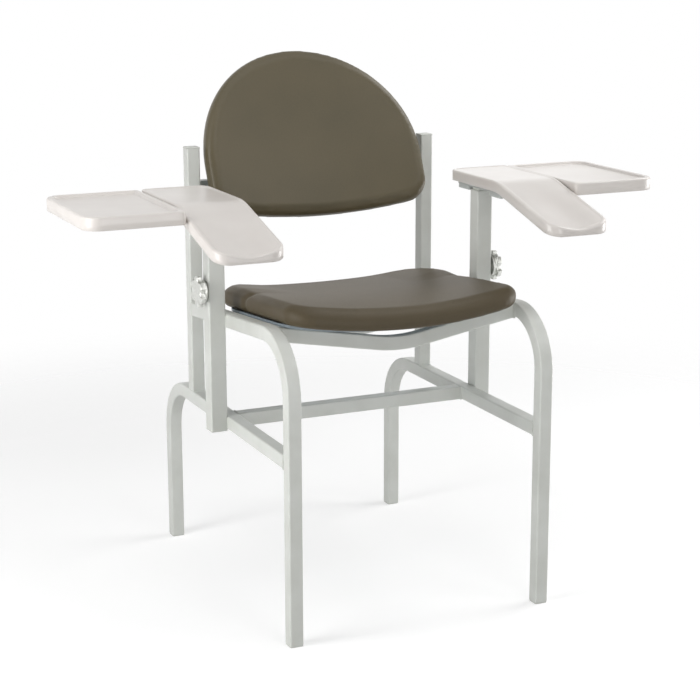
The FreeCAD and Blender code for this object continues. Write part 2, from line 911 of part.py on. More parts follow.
def arm_tube():
    start = vec(sleeve_place, -sleeve_shift, arm_tube_bottom)
    run = Z_AXIS * (arm_bar_top - arm_tube_bottom)
    return straight_tube(start, run, X_AXIS, Y_AXIS, tube_size, tube_wall)


def armrest_screw_seats():
    height = arm_bar_top - bar_thickness
    return [vec(sleeve_place, place, height) for place in bar_places()]


def tray_screw_seats():
    height = arm_bar_top - bar_thickness
    near = tray_inner + tray_screw_inset
    seats = []
    for place in bar_places():
        for x in (near, near + tray_screw_spacing):
            seats.append(vec(x, place, height))
    return seats


def arm_plate():
    """Plate welded across the arm tube's top, over both bars."""
    inner = sleeve_place - arm_plate_width / 2
    rear_place, front_place = bar_places()
    rear = rear_place + bar_width / 2
    front = front_place - bar_width / 2 - arm_plate_margin
    radii = [arm_plate_corner] * 4
    outline = plan_outline(
        (inner, inner + arm_plate_width), (front, rear), arm_bar_top, radii
    )
    plate = Part.Face(outline).extrude(Z_AXIS * arm_plate_thickness)
    for seat in armrest_screw_seats():
        plate = plate.cut(screw_hole(seat, Z_AXIS, bar_thickness + arm_plate_thickness))
    return plate


def tray_bars():
    bars = []
    bottom = arm_bar_top - bar_thickness
    inner = half_width + bar_inner_inset
    for place in bar_places():
        sides = (place - bar_width / 2, place + bar_width / 2)
        outline = plan_outline((inner, inner + bar_reach), sides, bottom, [bar_corner] * 4)
        bar = Part.Face(outline).extrude(Z_AXIS * bar_thickness)
        for seat in armrest_screw_seats() + tray_screw_seats():
            bar = bar.cut(screw_hole(seat, Z_AXIS, bar_thickness))
        bars.append(bar)
    return bars


def armrest_screw_length():
    return bar_thickness + arm_plate_thickness + screw_engagement


def tray_screw_length():
    return bar_thickness + screw_engagement


def arm_screws():
    screws = []
    for seat in armrest_screw_seats():
        screws.append(screw(seat, Z_AXIS, armrest_screw_length()))
    for seat in tray_screw_seats():
        screws.append(screw(seat, Z_AXIS, tray_screw_length()))
    return screws


def armrest_bend():
    """Place of the bend's centre, seen from the side."""
    bend_y = -sleeve_shift - armrest_bend_reach
    return vec(0, bend_y, armrest_top - armrest_bend_radius)


def armrest_block(inset, upper, lower):
    """Solid between two depths under the armrest's face, drawn in at the sides."""
    x_range = (armrest_inner + inset, armrest_outer - inset)
    rear = -sleeve_shift + armrest_rear_reach - inset
    front = -sleeve_shift - armrest_front_reach + inset
    centre = armrest_bend()
    past_front = Y_AXIS * -armrest_front_reach
    slope_run = past_front + Z_AXIS * (past_front.y * math.tan(armrest_slope))
    lines = []
    for depth in (upper, lower):
        radius = armrest_bend_radius - depth
        flat_end = centre + Z_AXIS * radius
        half_turn = armrest_slope / 2
        halfway = centre + vec(0, -math.sin(half_turn), math.cos(half_turn)) * radius
        turned = vec(0, -math.sin(armrest_slope), math.cos(armrest_slope))
        slope_start = centre + turned * radius
        rear_end = vec(0, -sleeve_shift + armrest_rear_reach, flat_end.z)
        lines.append((rear_end, flat_end, halfway, slope_start, slope_start + slope_run))
    top, bottom = lines
    edges = [
        Part.makeLine(top[0], top[1]),
        Part.Arc(top[1], top[2], top[3]).toShape(),
        Part.makeLine(top[3], top[4]),
        Part.makeLine(top[4], bottom[4]),
        Part.makeLine(bottom[4], bottom[3]),
        Part.Arc(bottom[3], bottom[2], bottom[1]).toShape(),
        Part.makeLine(bottom[1], bottom[0]),
        Part.makeLine(bottom[0], top[0]),
    ]
    side = Part.Face(Part.Wire(edges))
    side.translate(X_AXIS * armrest_inner)
    strip = side.extrude(X_AXIS * armrest_width)
    radii = [
        armrest_front_corner - inset,
        armrest_front_corner - inset,
        armrest_notch_corner - inset,
        armrest_rear_corner - inset,
    ]
    low = arm_bar_top - armrest_front_reach
    outline = plan_outline(x_range, (front, rear), low, radii)
    prism = Part.Face(outline).extrude(Z_AXIS * (armrest_top + cut_overrun - low))
    return strip.common(prism)


def trough(grow):
    """Round hollow for the forearm, deeper toward the front, fading at the bend."""
    half = trough_half_width
    radius = (half * half + trough_depth * trough_depth) / (2 * trough_depth)
    middle = (armrest_inner + armrest_outer) / 2
    bend = armrest_bend()
    turned = vec(0, -math.sin(armrest_slope), math.cos(armrest_slope))
    start = bend + turned * armrest_bend_radius
    level_run = armrest_front_reach - armrest_bend_reach
    run = vec(0, -level_run, -level_run * math.tan(armrest_slope) - trough_depth)
    direction = vec(0, run.y, run.z).normalize()
    lift = vec(0, direction.z, -direction.y)
    base = start + X_AXIS * middle + lift * radius - direction * level_run
    return Part.makeCylinder(radius + grow, 4 * level_run, base, direction)


def armrest():
    """Moulded shell: rounded rim, forearm trough, two bosses underneath."""
    body = armrest_block(0, 0, armrest_height)
    body = body.makeFillet(armrest_edge_radius, rim_edges(body)).cut(trough(0))
    cavity = armrest_block(armrest_skin, armrest_skin, armrest_height + cut_overrun)
    shell = body.cut(cavity.cut(trough(armrest_skin)))
    ceiling = armrest_top - armrest_skin / 2
    radius = armrest_boss_diameter / 2
    for seat in armrest_screw_seats():
        foot = vec(seat.x, seat.y, arm_plate_top)
        boss = Part.makeCylinder(radius, ceiling - arm_plate_top, foot)
        shell = shell.fuse(boss)
    for seat in armrest_screw_seats():
        shell = shell.cut(thread_hole(seat, Z_AXIS, armrest_screw_length()))
    return shell.removeSplitter()


def tray_plan(inset, height):
    x_range = (tray_inner + inset, tray_outer - inset)
    rear = -sleeve_shift + tray_rear_reach - inset
    front = -sleeve_shift - tray_front_reach + inset
    notch = max(tray_notch_corner - inset, tray_recess_wall)
    outer = tray_corner - inset
    return plan_outline(x_range, (front, rear), height, [notch, outer, outer, notch])


def tray_recess(grow):
    """Shallow hollow with sloping walls in the tray's face."""
    floor = tray_top - tray_recess_depth - grow
    margin = tray_recess_margin - grow
    wires = [
        tray_plan(margin + tray_recess_wall, floor),
        tray_plan(margin, tray_top),
    ]
    slope = Part.makeLoft(wires, True, True)
    above = Part.Face(tray_plan(margin, tray_top)).extrude(Z_AXIS * cut_overrun)
    return slope.fuse(above)


def tray():
    """Moulded tray: rounded rim, shallow recess, four bosses underneath."""
    body = Part.Face(tray_plan(0, arm_bar_top)).extrude(Z_AXIS * tray_height)
    body = body.makeFillet(tray_edge_radius, rim_edges(body))
    body = body.cut(tray_recess(0))
    below = arm_bar_top - cut_overrun
    depth = tray_height - tray_skin + cut_overrun
    cavity = Part.Face(tray_plan(tray_skin, below)).extrude(Z_AXIS * depth)
    shell = body.cut(cavity.cut(tray_recess(tray_skin)))
    ceiling = tray_height - tray_recess_depth - tray_skin / 2
    for seat in tray_screw_seats():
        foot = vec(seat.x, seat.y, arm_bar_top)
        shell = shell.fuse(Part.makeCylinder(tray_boss_diameter / 2, ceiling, foot))
    for seat in tray_screw_seats():
        shell = shell.cut(thread_hole(seat, Z_AXIS, tray_screw_length()))
    return shell.removeSplitter()


# Chair

def write_pair(name, pieces):
    """A node for each side of the chair out of the left side's pieces."""
    write("left_" + name, pieces)
    write("right_" + name, [mirrored(piece) for piece in pieces])


def build_frame():
    write_pair("front_leg", [front_leg()])
    write_pair("rear_leg", [rear_leg()])
    write_pair("back_post", [back_post()])
    write("back_post_caps", pair(back_post_cap()))
    write("foot_glides", foot_glides())
    write("lower_stretcher", [lower_stretcher()])
    write_pair("arm_sleeve", [arm_sleeve()])
    write("sleeve_plugs", pair(sleeve_plug()))
    bushings = sleeve_bushings()
    write("sleeve_bushings", bushings + [mirrored(piece) for piece in bushings])
    write("clamp_bosses", pair(clamp_boss()))


def build_seat():
    front = level_place(-half_depth + front_crossbar_setback)
    rear = level_place(-rear_crossbar_shift)
    write("front_seat_crossbar", [crossbar(front)])
    write("rear_seat_crossbar", [crossbar(rear)])
    write("seat_pan", [seat_pan((front, rear))])
    write("seat_cushion", [seat_cushion()])
    write("seat_screws", seat_screws(front) + seat_screws(rear))


def build_back():
    write("back_crossbar", [back_crossbar()])
    write("back_brackets", pair(back_bracket()))
    write("back_board", [back_board()])
    write("back_cushion", [back_cushion()])
    write("back_screws", back_screws())


def build_arms():
    write_pair("arm_tube", [arm_tube()])
    write_pair("arm_plate", [arm_plate()])
    write_pair("tray_bars", tray_bars())
    write_pair("armrest", [armrest()])
    write_pair("tray", [tray()])
    write_pair("arm_screws", arm_screws())
    write_pair("knob", [knob()])
    write_pair("knob_stud", [knob_stud()])


os.makedirs("parts", exist_ok=True)
build_frame()
build_seat()
build_back()
build_arms()
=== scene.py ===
import bmesh
import bpy
import json
import math
import numpy as np
from mathutils import Matrix, Vector


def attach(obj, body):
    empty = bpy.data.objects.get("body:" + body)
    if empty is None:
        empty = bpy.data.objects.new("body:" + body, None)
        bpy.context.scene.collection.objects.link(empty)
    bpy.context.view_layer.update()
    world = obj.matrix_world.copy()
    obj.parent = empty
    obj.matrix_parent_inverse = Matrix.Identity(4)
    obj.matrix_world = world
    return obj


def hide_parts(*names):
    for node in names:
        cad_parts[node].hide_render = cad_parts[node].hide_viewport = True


# Phlebotomy chair: steel tube frame, padded seat and back, two height-adjustable arms. Metres.
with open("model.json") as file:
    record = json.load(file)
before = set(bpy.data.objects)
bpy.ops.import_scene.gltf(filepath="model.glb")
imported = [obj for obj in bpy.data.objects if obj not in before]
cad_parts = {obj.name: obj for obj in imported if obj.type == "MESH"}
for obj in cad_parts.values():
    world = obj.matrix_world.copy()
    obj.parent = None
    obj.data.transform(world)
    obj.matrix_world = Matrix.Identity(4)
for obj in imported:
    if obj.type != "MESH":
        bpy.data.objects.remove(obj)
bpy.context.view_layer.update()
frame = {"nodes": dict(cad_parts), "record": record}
MM = 0.001


# Places and sizes of the solids that the new pieces meet, as in the part's source

TUBE_SIZE = 25.4 * MM
TUBE_CORNER = 3 * MM
SIDE_PLACE = 244.8 * MM
FRONT_LEG_BACK = -303.1 * MM
LOWER_RAIL_TOP = 344 * MM
SEAT_RAIL_TOP = 533.5 * MM
SEAT_SLOPE = math.radians(4.9)
RAIL_END_HEIGHT = 507.3 * MM
STRETCHER_Y = -13.8 * MM
FRONT_CROSSBAR = (-217 * MM, 535.4 * MM)
REAR_CROSSBAR = (-17 * MM, 518.3 * MM)
POST_FRONT = 157 * MM
BACK_TILT = math.radians(26.5)
BACK_PLACE = (158.1 * MM, 746.3 * MM)
SLEEVE_SIZE = 31.75 * MM
SLEEVE_X = 257.5 * MM
SLEEVE_Y = -19.2 * MM
KNOB_HEIGHT = 579.5 * MM
BOSS_LENGTH = 3.1 * MM
KNOB_GAP = 0.4 * MM
BAR_TOP = 733.3 * MM
BAR_OFFSETS = (46.7 * MM, -78.3 * MM)
SCREW_POST_RADIUS = 7 * MM
ARMREST_X = (250.0 * MM, 377.0 * MM)
ARMREST_Y = (-320.0 * MM, 75.0 * MM)
ARMREST_TOP = 758.5 * MM
ARM_BEND_START = SLEEVE_Y - 80.8 * MM
ARM_BEND_RADIUS = 150 * MM
ARM_SLOPE = math.radians(15.3)
TRAY_X = (380.0 * MM, 556.5 * MM)
TRAY_Y = (-190.0 * MM, 80.0 * MM)
TRAY_TOP = BAR_TOP + 23.5 * MM
TRAY_SCREWS = (42 * MM, 112 * MM)


# Colours and nodes

def linear(colour):
    """sRGB hex to linear light: c / 12.92 below 0.04045, else ((c + 0.055) / 1.055) ** 2.4."""
    parts = [int(colour[i:i + 2], 16) / 255 for i in (0, 2, 4)]
    return [c / 12.92 if c < 0.04045 else ((c + 0.055) / 1.055) ** 2.4 for c in parts] + [1.0]


def add(tree, kind, links=None, **settings):
    """A node with its settings, and its sockets linked or set."""
    made = tree.nodes.new(kind)
    for name, value in settings.items():
        setattr(made, name, value)
    for key, value in (links or {}).items():
        if isinstance(value, bpy.types.NodeSocket):
            tree.links.new(value, made.inputs[key])
        else:
            made.inputs[key].default_value = value
    return made


def start_material(name, **shader):
    """A material with its shader's fixed sockets set, its tree and its place on the piece."""
    material = bpy.data.materials.new(name)
    material.use_nodes = True
    tree = material.node_tree
    tree.nodes.clear()
    surface = add(tree, "ShaderNodeBsdfPrincipled")
    for key, value in shader.items():
        surface.inputs[key.replace("_", " ")].default_value = value
    add(tree, "ShaderNodeOutputMaterial", {"Surface": surface.outputs[0]})
    place = add(tree, "ShaderNodeTexCoord").outputs["Object"]
    return material, tree, surface, place


def two_tone(tree, surface, value, low, high, dark, light):
    """Base colour that runs from dark to light as a value runs from low to high."""
    ramp = add(tree, "ShaderNodeValToRGB", {"Fac": value})
    ramp.color_ramp.elements[0].position = low
    ramp.color_ramp.elements[0].color = linear(dark)
    ramp.color_ramp.elements[1].position = high
    ramp.color_ramp.elements[1].color = linear(light)
    tree.links.new(ramp.outputs["Color"], surface.inputs["Base Color"])


def spread(tree, surface, value, low, high):
    """Roughness between low and high, following a value."""
    mapped = add(tree, "ShaderNodeMapRange", {"Value": value, "To Min": low, "To Max": high})
    tree.links.new(mapped.outputs[0], surface.inputs["Roughness"])


def relief(tree, surface, height, depth, strength):
    """Bump of a depth in metres under a height between 0 and 1."""
    bump = add(tree, "ShaderNodeBump", {"Height": height, "Distance": depth, "Strength": strength})
    tree.links.new(bump.outputs["Normal"], surface.inputs["Normal"])


def noise(tree, place, size, detail):
    """Noise whose patches are about size metres across."""
    links = {"Vector": place, "Scale": 1 / size, "Detail": detail}
    return add(tree, "ShaderNodeTexNoise", links).outputs["Fac"]


# Materials

def powder_coated_steel(name, dark, light, rough=0.40):
    """Satin powder coat on steel tube: a faint orange peel 2 mm across, even colour, soft sheen."""
    material, tree, surface, place = start_material(name, Specular_IOR_Level=0.5, IOR=1.5)
    two_tone(tree, surface, noise(tree, place, 60 * MM, 3.0), 0.35, 0.65, dark, light)
    peel = noise(tree, place, 2.2 * MM, 2.0)
    spread(tree, surface, peel, rough - 0.05, rough + 0.07)
    relief(tree, surface, peel, 0.04 * MM, 0.5)
    return material


def moulded_gloss(name, dark, light):
    """Injection-moulded ABS, semi-gloss: even colour, faint flow marks 40 mm long, soft highlight."""
    material, tree, surface, place = start_material(name, IOR=1.53, Coat_Weight=0.15, Coat_Roughness=0.2)
    two_tone(tree, surface, noise(tree, place, 90 * MM, 2.0), 0.3, 0.7, dark, light)
    flow = noise(tree, place, 40 * MM, 1.0)
    spread(tree, surface, flow, 0.30, 0.38)
    relief(tree, surface, noise(tree, place, 1.5 * MM, 1.0), 0.008 * MM, 0.3)
    return material


def moulded_matte(name, dark, light, rough):
    """Moulded polyethylene, spark-eroded texture 0.8 mm across drawn at 1.2 mm to show: dull, waxy."""
    material, tree, surface, place = start_material(name, IOR=1.5)
    two_tone(tree, surface, noise(tree, place, 8 * MM, 3.0), 0.3, 0.7, dark, light)
    grain = noise(tree, place, 1.2 * MM, 1.0)
    spread(tree, surface, grain, rough - 0.08, rough + 0.08)
    relief(tree, surface, grain, 0.06 * MM, 0.5)
    return material


def plated_metal(name, dark, light, rough):
    """Nickel or zinc plating on metal: satin, with faint polishing haze 3 mm across."""
    material, tree, surface, place = start_material(name, Metallic=1.0)
    haze = noise(tree, place, 3 * MM, 4.0)
    two_tone(tree, surface, haze, 0.3, 0.7, dark, light)
    spread(tree, surface, haze, rough - 0.05, rough + 0.06)
    relief(tree, surface, haze, 0.01 * MM, 0.3)
    return material


def coated_upholstery(name, dark, light, gloss, rough):
    """Vinyl-coated fabric: fine embossed grain, pebbles 1.6 mm apart, and a broad satin highlight; its colour
    is painted a little darker between the pebbles as shade in the grain's hollows, over random tone in 140 mm
    patches.
    """
    material, tree, surface, place = start_material(name, IOR=1.5, Specular_IOR_Level=gloss)
    cells = add(
        tree, "ShaderNodeTexVoronoi", {"Vector": place, "Scale": 1 / (1.6 * MM)}, feature="SMOOTH_F1",
    ).outputs["Distance"]
    pebble = add(
        tree, "ShaderNodeMapRange", {"Value": cells, "From Max": 0.7, "To Min": 1.0, "To Max": 0.0},
        interpolation_type="SMOOTHSTEP",
    ).outputs[0]
    patch = noise(tree, place, 140 * MM, 2.0)
    # Painted shade: base colour lighter on the pebbles and darker in the hollows between them, added to
    # random patch tone.
    grain_shade_and_tone = add(tree, "ShaderNodeMath", {0: pebble, 1: 0.22, 2: patch}, operation="MULTIPLY_ADD").outputs[0]
    two_tone(tree, surface, grain_shade_and_tone, 0.3, 1.0, dark, light)
    spread(tree, surface, pebble, rough + 0.04, rough - 0.02)
    relief(tree, surface, pebble, 0.02 * MM, 0.3)
    return material


FINISHES = {
    "frame_paint": powder_coated_steel("powder_coated_steel_grey", "CED0CA", "D6D8D3"),
    "arm_tube_metal": powder_coated_steel("powder_coated_steel_arm_tube", "C6C8C2", "D0D2CC", 0.36),
    "arm_bar_paint": powder_coated_steel("powder_coated_flat_bar", "B6BAB8", "C0C4C2"),
    "plug_plastic": moulded_matte("polyethylene_plug_light_grey", "C6C8C2", "D0D2CC", 0.5),
    "armrest_plastic": moulded_gloss("glossy_abs_armrest", "D4CEC9", "DAD5D0"),
    "tray_plastic": moulded_gloss("glossy_abs_tray", "D5CFCA", "DBD6D1"),
    "knob_metal": plated_metal("satin_nickel_plated_knob", "C9CAC5", "DCDDD9", 0.44),
    "screw_steel": plated_metal("zinc_plated_screw", "9C9EA0", "B5B7B8", 0.34),
    "pan_plastic": moulded_matte("polypropylene_pan_blue_grey", "8E9AA3", "9AA6AE", 0.45),
    "board_plastic": moulded_matte("polypropylene_board_blue_grey", "98A2A9", "A3ADB3", 0.45),
    "seat_vinyl": coated_upholstery("taupe_vinyl_seat_cover", "504838", "5C5241", 0.16, 0.44),
    "back_vinyl": coated_upholstery("taupe_vinyl_back_cover", "504936", "5C533E", 0.30, 0.36),
}


def dress_frame():
    """Every CAD node takes the finish of its slot."""
    slots = {entry["node"]: entry["material_slot"] for entry in frame["record"]["subparts"]}
    for name, piece in frame["nodes"].items():
        piece.data.materials.clear()
        piece.data.materials.append(FINISHES[slots[name]])


# Surfaces

def net(rows, columns):
    """Quads of a grid whose columns close on themselves; point (r, c) has the number r * columns + c."""
    row, column = np.mgrid[0:rows - 1, 0:columns]
    beside = (column + 1) % columns
    quads = np.stack([
        row * columns + column,
        row * columns + beside,
        (row + 1) * columns + beside,
        (row + 1) * columns + column,
    ], axis=-1)
    return quads.reshape(-1, 4)


def surface_piece(name, shells, side, slot, body, replaced):
    """One smooth mesh of closed shells: each is an array rings x points x 3, mirrored where side is -1."""
    points, quads, count = [], [], 0
    for shell in shells:
        rings, around, _ = shell.shape
        points.append(shell.reshape(-1, 3) * (side, 1, 1))
        faces = net(rings, around) + count
        quads.append(faces if side > 0 else faces[:, ::-1])
        count += rings * around
    mesh = bpy.data.meshes.new(name)
    mesh.from_pydata(np.vstack(points).tolist(), [], np.vstack(quads).tolist())
    work = bmesh.new()
    work.from_mesh(mesh)
    bmesh.ops.remove_doubles(work, verts=work.verts, dist=0.02 * MM)
    bmesh.ops.dissolve_degenerate(work, edges=work.edges, dist=0.01 * MM)
    bmesh.ops.recalc_face_normals(work, faces=work.faces)
    work.to_mesh(mesh)
    work.free()
    mesh.polygons.foreach_set("use_smooth", np.ones(len(mesh.polygons), dtype=bool))
    mesh.materials.append(FINISHES[slot])
    piece = bpy.data.objects.new(name, mesh)
    bpy.context.scene.collection.objects.link(piece)
    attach(piece, body)
    if replaced:
        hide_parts(*replaced)
    return piece


def plan_ring(x_range, y_range, radii, inset, least=0.0, corner=9, sides=(22, 70)):
    """Rounded rectangle drawn in by inset: arcs of radius less inset, not under least, and straight sides."""
    x0, x1 = x_range[0] + inset, x_range[1] - inset
    y0, y1 = y_range[0] + inset, y_range[1] - inset
    turn = np.linspace(0, math.pi / 2, corner)
    places = ((x0, y0, 1, 1), (x1, y0, -1, 1), (x1, y1, -1, -1), (x0, y1, 1, -1))
    arcs = []
    for index, ((x, y, inward_x, inward_y), radius) in enumerate(zip(places, radii)):
        small = max(radius - inset, least)
        angle = math.pi + index * math.pi / 2 + turn
        arcs.append(np.column_stack([
            x + inward_x * small + small * np.cos(angle),
            y + inward_y * small + small * np.sin(angle),
        ]))
    loop = []
    for index in range(4):
        start, end = arcs[index][-1], arcs[(index + 1) % 4][0]
        share = np.linspace(0, 1, sides[index % 2] + 2)[1:-1, None]
        loop += [arcs[index], start + (end - start) * share]
    return np.vstack(loop)


def edge_round(radius):
    """Insets and drops of a quarter round: radius * (1 - sin a) and radius * (1 - cos a)."""
    angle = np.linspace(0, math.pi / 2, 7)
    return [(radius * (1 - math.sin(a)), radius * (1 - math.cos(a))) for a in angle]


def screw_post(x, y, low, high):
    """Closed post: rings about x and y from low to high, a small round below, a point at both ends."""
    angle = np.linspace(0, 2 * math.pi, 24, endpoint=False)
    radius, edge = SCREW_POST_RADIUS, 0.5 * MM
    profile = ((low, 0), (low, radius - edge), (low + edge, radius), (high, radius), (high, 0))
    return np.array([
        np.column_stack([x + reach * np.cos(angle), y + reach * np.sin(angle), np.full(24, height)])
        for height, reach in profile
    ])


# Arms

def arm_line(y):
    """Height of the armrest's face: level, down by r - sqrt(r * r - d * d) in the bend, then straight."""
    radius = ARM_BEND_RADIUS
    beyond = np.clip(ARM_BEND_START - y, 0, None)
    arc = radius * math.sin(ARM_SLOPE)
    bent = radius - np.sqrt(radius ** 2 - np.minimum(beyond, arc) ** 2)
    return ARMREST_TOP - bent - np.clip(beyond - arc, 0, None) * math.tan(ARM_SLOPE)


def forearm_hollow(x, y):
    """Depth of the trough: raised cosine across, wider and deeper toward the tip, none behind the bend."""
    along = np.clip((ARMREST_Y[0] + 192 * MM - y) / (192 * MM), 0, 1)
    half = (26 + 34 * np.sqrt(along)) * MM
    across = np.clip(np.abs(x - np.mean(ARMREST_X)) / half, 0, 1)
    ease = along * along * (3 - 2 * along)
    return 9 * MM * (0.35 * along + 0.65 * ease) * (0.5 + 0.5 * np.cos(math.pi * across))


def armrest_rings():
    """Shell from the face's middle line out over the rim, down, and back inside to the middle line."""
    half = (ARMREST_X[1] - ARMREST_X[0]) / 2
    radii = [28 * MM, 28 * MM, 9 * MM, 25 * MM]
    flat = [(inset, 1.1 * MM, 1.0) for inset in np.linspace(half, 11 * MM, 22)]
    share = np.linspace(1, 0, 7)
    face = flat + [((5 + 5 * s) * MM, 1.1 * MM * s * s * (3 - 2 * s), 1.0) for s in share]
    rim = [(inset, drop, 1.0) for inset, drop in edge_round(4 * MM)]
    foot = [(0.0, 12 * MM, 0.4), (0.0, 19.6 * MM, 0.0), (0.4 * MM, 20 * MM, 0.0), (3.1 * MM, 20 * MM, 0.0)]
    inside = [(3.5 * MM, 19.5 * MM, 0.0), (3.5 * MM, 12 * MM, 0.4), (4.2 * MM, 3.5 * MM, 1.0)]
    ceiling = [(inset, 3.5 * MM, 1.0) for inset in np.linspace(8 * MM, half, 18)]
    rings = []
    for inset, drop, hollowed in face + rim + foot + inside + ceiling:
        ring = plan_ring(ARMREST_X, ARMREST_Y, radii, inset)
        x, y = ring[:, 0], ring[:, 1]
        height = arm_line(y) - hollowed * forearm_hollow(x, y) - drop
        rings.append(np.column_stack([ring, height]))
    return np.array(rings)


def tray_rings():
    """Shell from the recess floor up its wall, over the margin and rim, down, and back under the floor.

    Each ring is an inset, a drop under the top and the least radius of its corners, in mm.
    """
    half = (TRAY_X[1] - TRAY_X[0]) / 2 / MM
    radii = [9 * MM, 30 * MM, 30 * MM, 9 * MM]
    wall = [(9.5 + 5 * s, 5 * (s * s * (3 - 2 * s)), 6) for s in np.linspace(1, 0, 9)]
    floor = [(half, 5, 0), (60, 5, 2), (30, 5, 5), (17, 5, 6)]
    margin = [(8.5, 0, 1), (5.5, 0, 1)]
    rim = [(inset, drop, 0.5) for inset, drop in edge_round(4)]
    foot = [(0, 12, 0.5), (0, 22.9, 0.5), (0.6, 23.5, 0.5), (2.9, 23.5, 0.5)]
    inside = [(3.5, 23, 0.5), (3.5, 8.6, 0.5)]
    ceiling = [(12, 8.5, 0.5), (half, 8.5, 0)]
    rings = []
    for inset, drop, least in floor + wall + margin + rim + foot + inside + ceiling:
        ring = plan_ring(TRAY_X, TRAY_Y, radii, inset * MM, least * MM, sides=(30, 46))
        rings.append(np.column_stack([ring, np.full(len(ring), TRAY_TOP - drop * MM)]))
    return np.array(rings)


def knob_rings():
    """Rings about the knob's axis, the far ones notched: radius is the lesser of the rim and a round bite."""
    rim, bite, notch = 28.5 * MM, 6.5 * MM, 8.5 * MM
    angle = np.linspace(0, 2 * math.pi, 432, endpoint=False)
    off = (angle + math.pi / 6) % (math.pi / 3) - math.pi / 6
    reach = rim + notch - bite
    inside = np.clip(notch ** 2 - (reach * np.sin(off)) ** 2, 0, None)
    bitten = np.where(inside > 0, reach * np.cos(off) - np.sqrt(inside), 1.0)
    near = np.clip(0.5 + 0.5 * (bitten - rim) / (1.5 * MM), 0, 1)
    lobed = bitten * (1 - near) + rim * near - 1.5 * MM * near * (1 - near)
    level = np.full_like(angle, 21 * MM)
    face = SLEEVE_X + SLEEVE_SIZE + BOSS_LENGTH + KNOB_GAP
    profile = [
        (0.0, 0 * level), (0.0, 0.5 * level), (0.0, level - 1.4 * MM), (0.0, level - 0.8 * MM),
        (0.1 * MM, level - 0.4 * MM), (0.4 * MM, level - 0.1 * MM), (0.8 * MM, level), (1.6 * MM, level),
        (4.4 * MM, level), (5.2 * MM, level), (5.5 * MM, level + 0.1 * MM), (5.5 * MM, lobed - 2.2 * MM),
        (5.5 * MM, lobed - 1.6 * MM), (5.8 * MM, lobed - 0.8 * MM), (6.3 * MM, lobed - 0.25 * MM),
        (7.1 * MM, lobed), (8.1 * MM, lobed), (11.4 * MM, lobed), (12.7 * MM, lobed),
        (13.7 * MM, lobed - 0.25 * MM), (14.5 * MM, lobed - 0.8 * MM), (15.0 * MM, lobed - 1.5 * MM),
        (15.3 * MM, lobed - 2.4 * MM), (15.4 * MM, lobed - 3.6 * MM), (15.35 * MM, lobed - 5 * MM),
        (15.1 * MM, 0.5 * lobed + 0.3 * level), (14.9 * MM, 0.3 * lobed + 0.35 * level),
        (14.8 * MM, 0.45 * level), (14.8 * MM, 0.3 * level), (14.8 * MM, 0.15 * level),
        (14.8 * MM, 0 * level),
    ]
    rings = []
    for depth, radius in profile:
        rings.append(np.column_stack([
            np.full_like(angle, face + depth),
            SLEEVE_Y + radius * np.cos(angle),
            KNOB_HEIGHT + radius * np.sin(angle),
        ]))
    return np.array(rings)


def arm_pieces():
    """Armrest, tray and knob of each side, with the posts under the plastic shells."""
    middle = SLEEVE_X + SLEEVE_SIZE / 2
    bars = [SLEEVE_Y + offset for offset in BAR_OFFSETS]
    for word, side in (("left", 1), ("right", -1)):
        posts = [screw_post(middle, y, BAR_TOP + 3 * MM, ARMREST_TOP - 2 * MM) for y in bars]
        surface_piece(
            word + "_armrest_shell", [armrest_rings()[::-1]] + posts, side, "armrest_plastic",
            word + "_arm", [word + "_armrest"],
        )
        posts = [
            screw_post(TRAY_X[0] + x, y, BAR_TOP, TRAY_TOP - 7 * MM)
            for y in bars for x in TRAY_SCREWS
        ]
        surface_piece(
            word + "_tray_shell", [tray_rings()[::-1]] + posts, side, "tray_plastic",
            word + "_arm", [word + "_tray"],
        )
        surface_piece(
            word + "_lobed_knob", [knob_rings()[::-1]], side, "knob_metal",
            word + "_clamp_knob", [word + "_knob"],
        )


# Welds

def weld_ring(centre, across, along):
    """Bead about a square tube's end: a round section carried along a rounded square, rippled every 3 mm."""
    reach = (-TUBE_SIZE / 2, TUBE_SIZE / 2)
    loop = even_loop(plan_ring(reach, reach, [TUBE_CORNER] * 4, 0, corner=6, sides=(8, 8)), 200)
    loop = np.vstack([loop, loop[:1]])
    outward = loop / np.linalg.norm(loop, axis=1)[:, None]
    turn = np.linspace(0, 2 * math.pi, 10, endpoint=False)
    step = np.linspace(0, 2 * math.pi, len(loop))
    radius = (1.7 + 0.15 * np.sin(32 * step) + 0.12 * np.sin(5 * step)) * MM
    across, along = np.array(across), np.array(along)
    upright = np.cross(across, along)
    flat = loop[:, None] + outward[:, None] * (radius[:, None] * np.cos(turn))[..., None]
    rise = radius[:, None] * np.sin(turn)
    return np.array(centre) + flat[..., :1] * across + flat[..., 1:] * along + rise[..., None] * upright


def weld_seam(start, end):
    """Straight bead from start to end: a round section, rippled every 3 mm, drawn to a point at both ends."""
    start, end = np.array(start), np.array(end)
    share = np.linspace(0, 1, 60)
    length = np.linalg.norm(end - start)
    taper = np.sqrt(np.clip(1 - (2 * share - 1) ** 8, 0, 1))
    radius = (1.7 + 0.15 * np.sin(2 * math.pi * share * length / (3 * MM))) * MM * taper
    turn = np.linspace(0, 2 * math.pi, 10, endpoint=False)
    section = np.column_stack([np.cos(turn), np.sin(turn), np.zeros(len(turn))])
    return start + share[:, None, None] * (end - start) + radius[:, None, None] * section


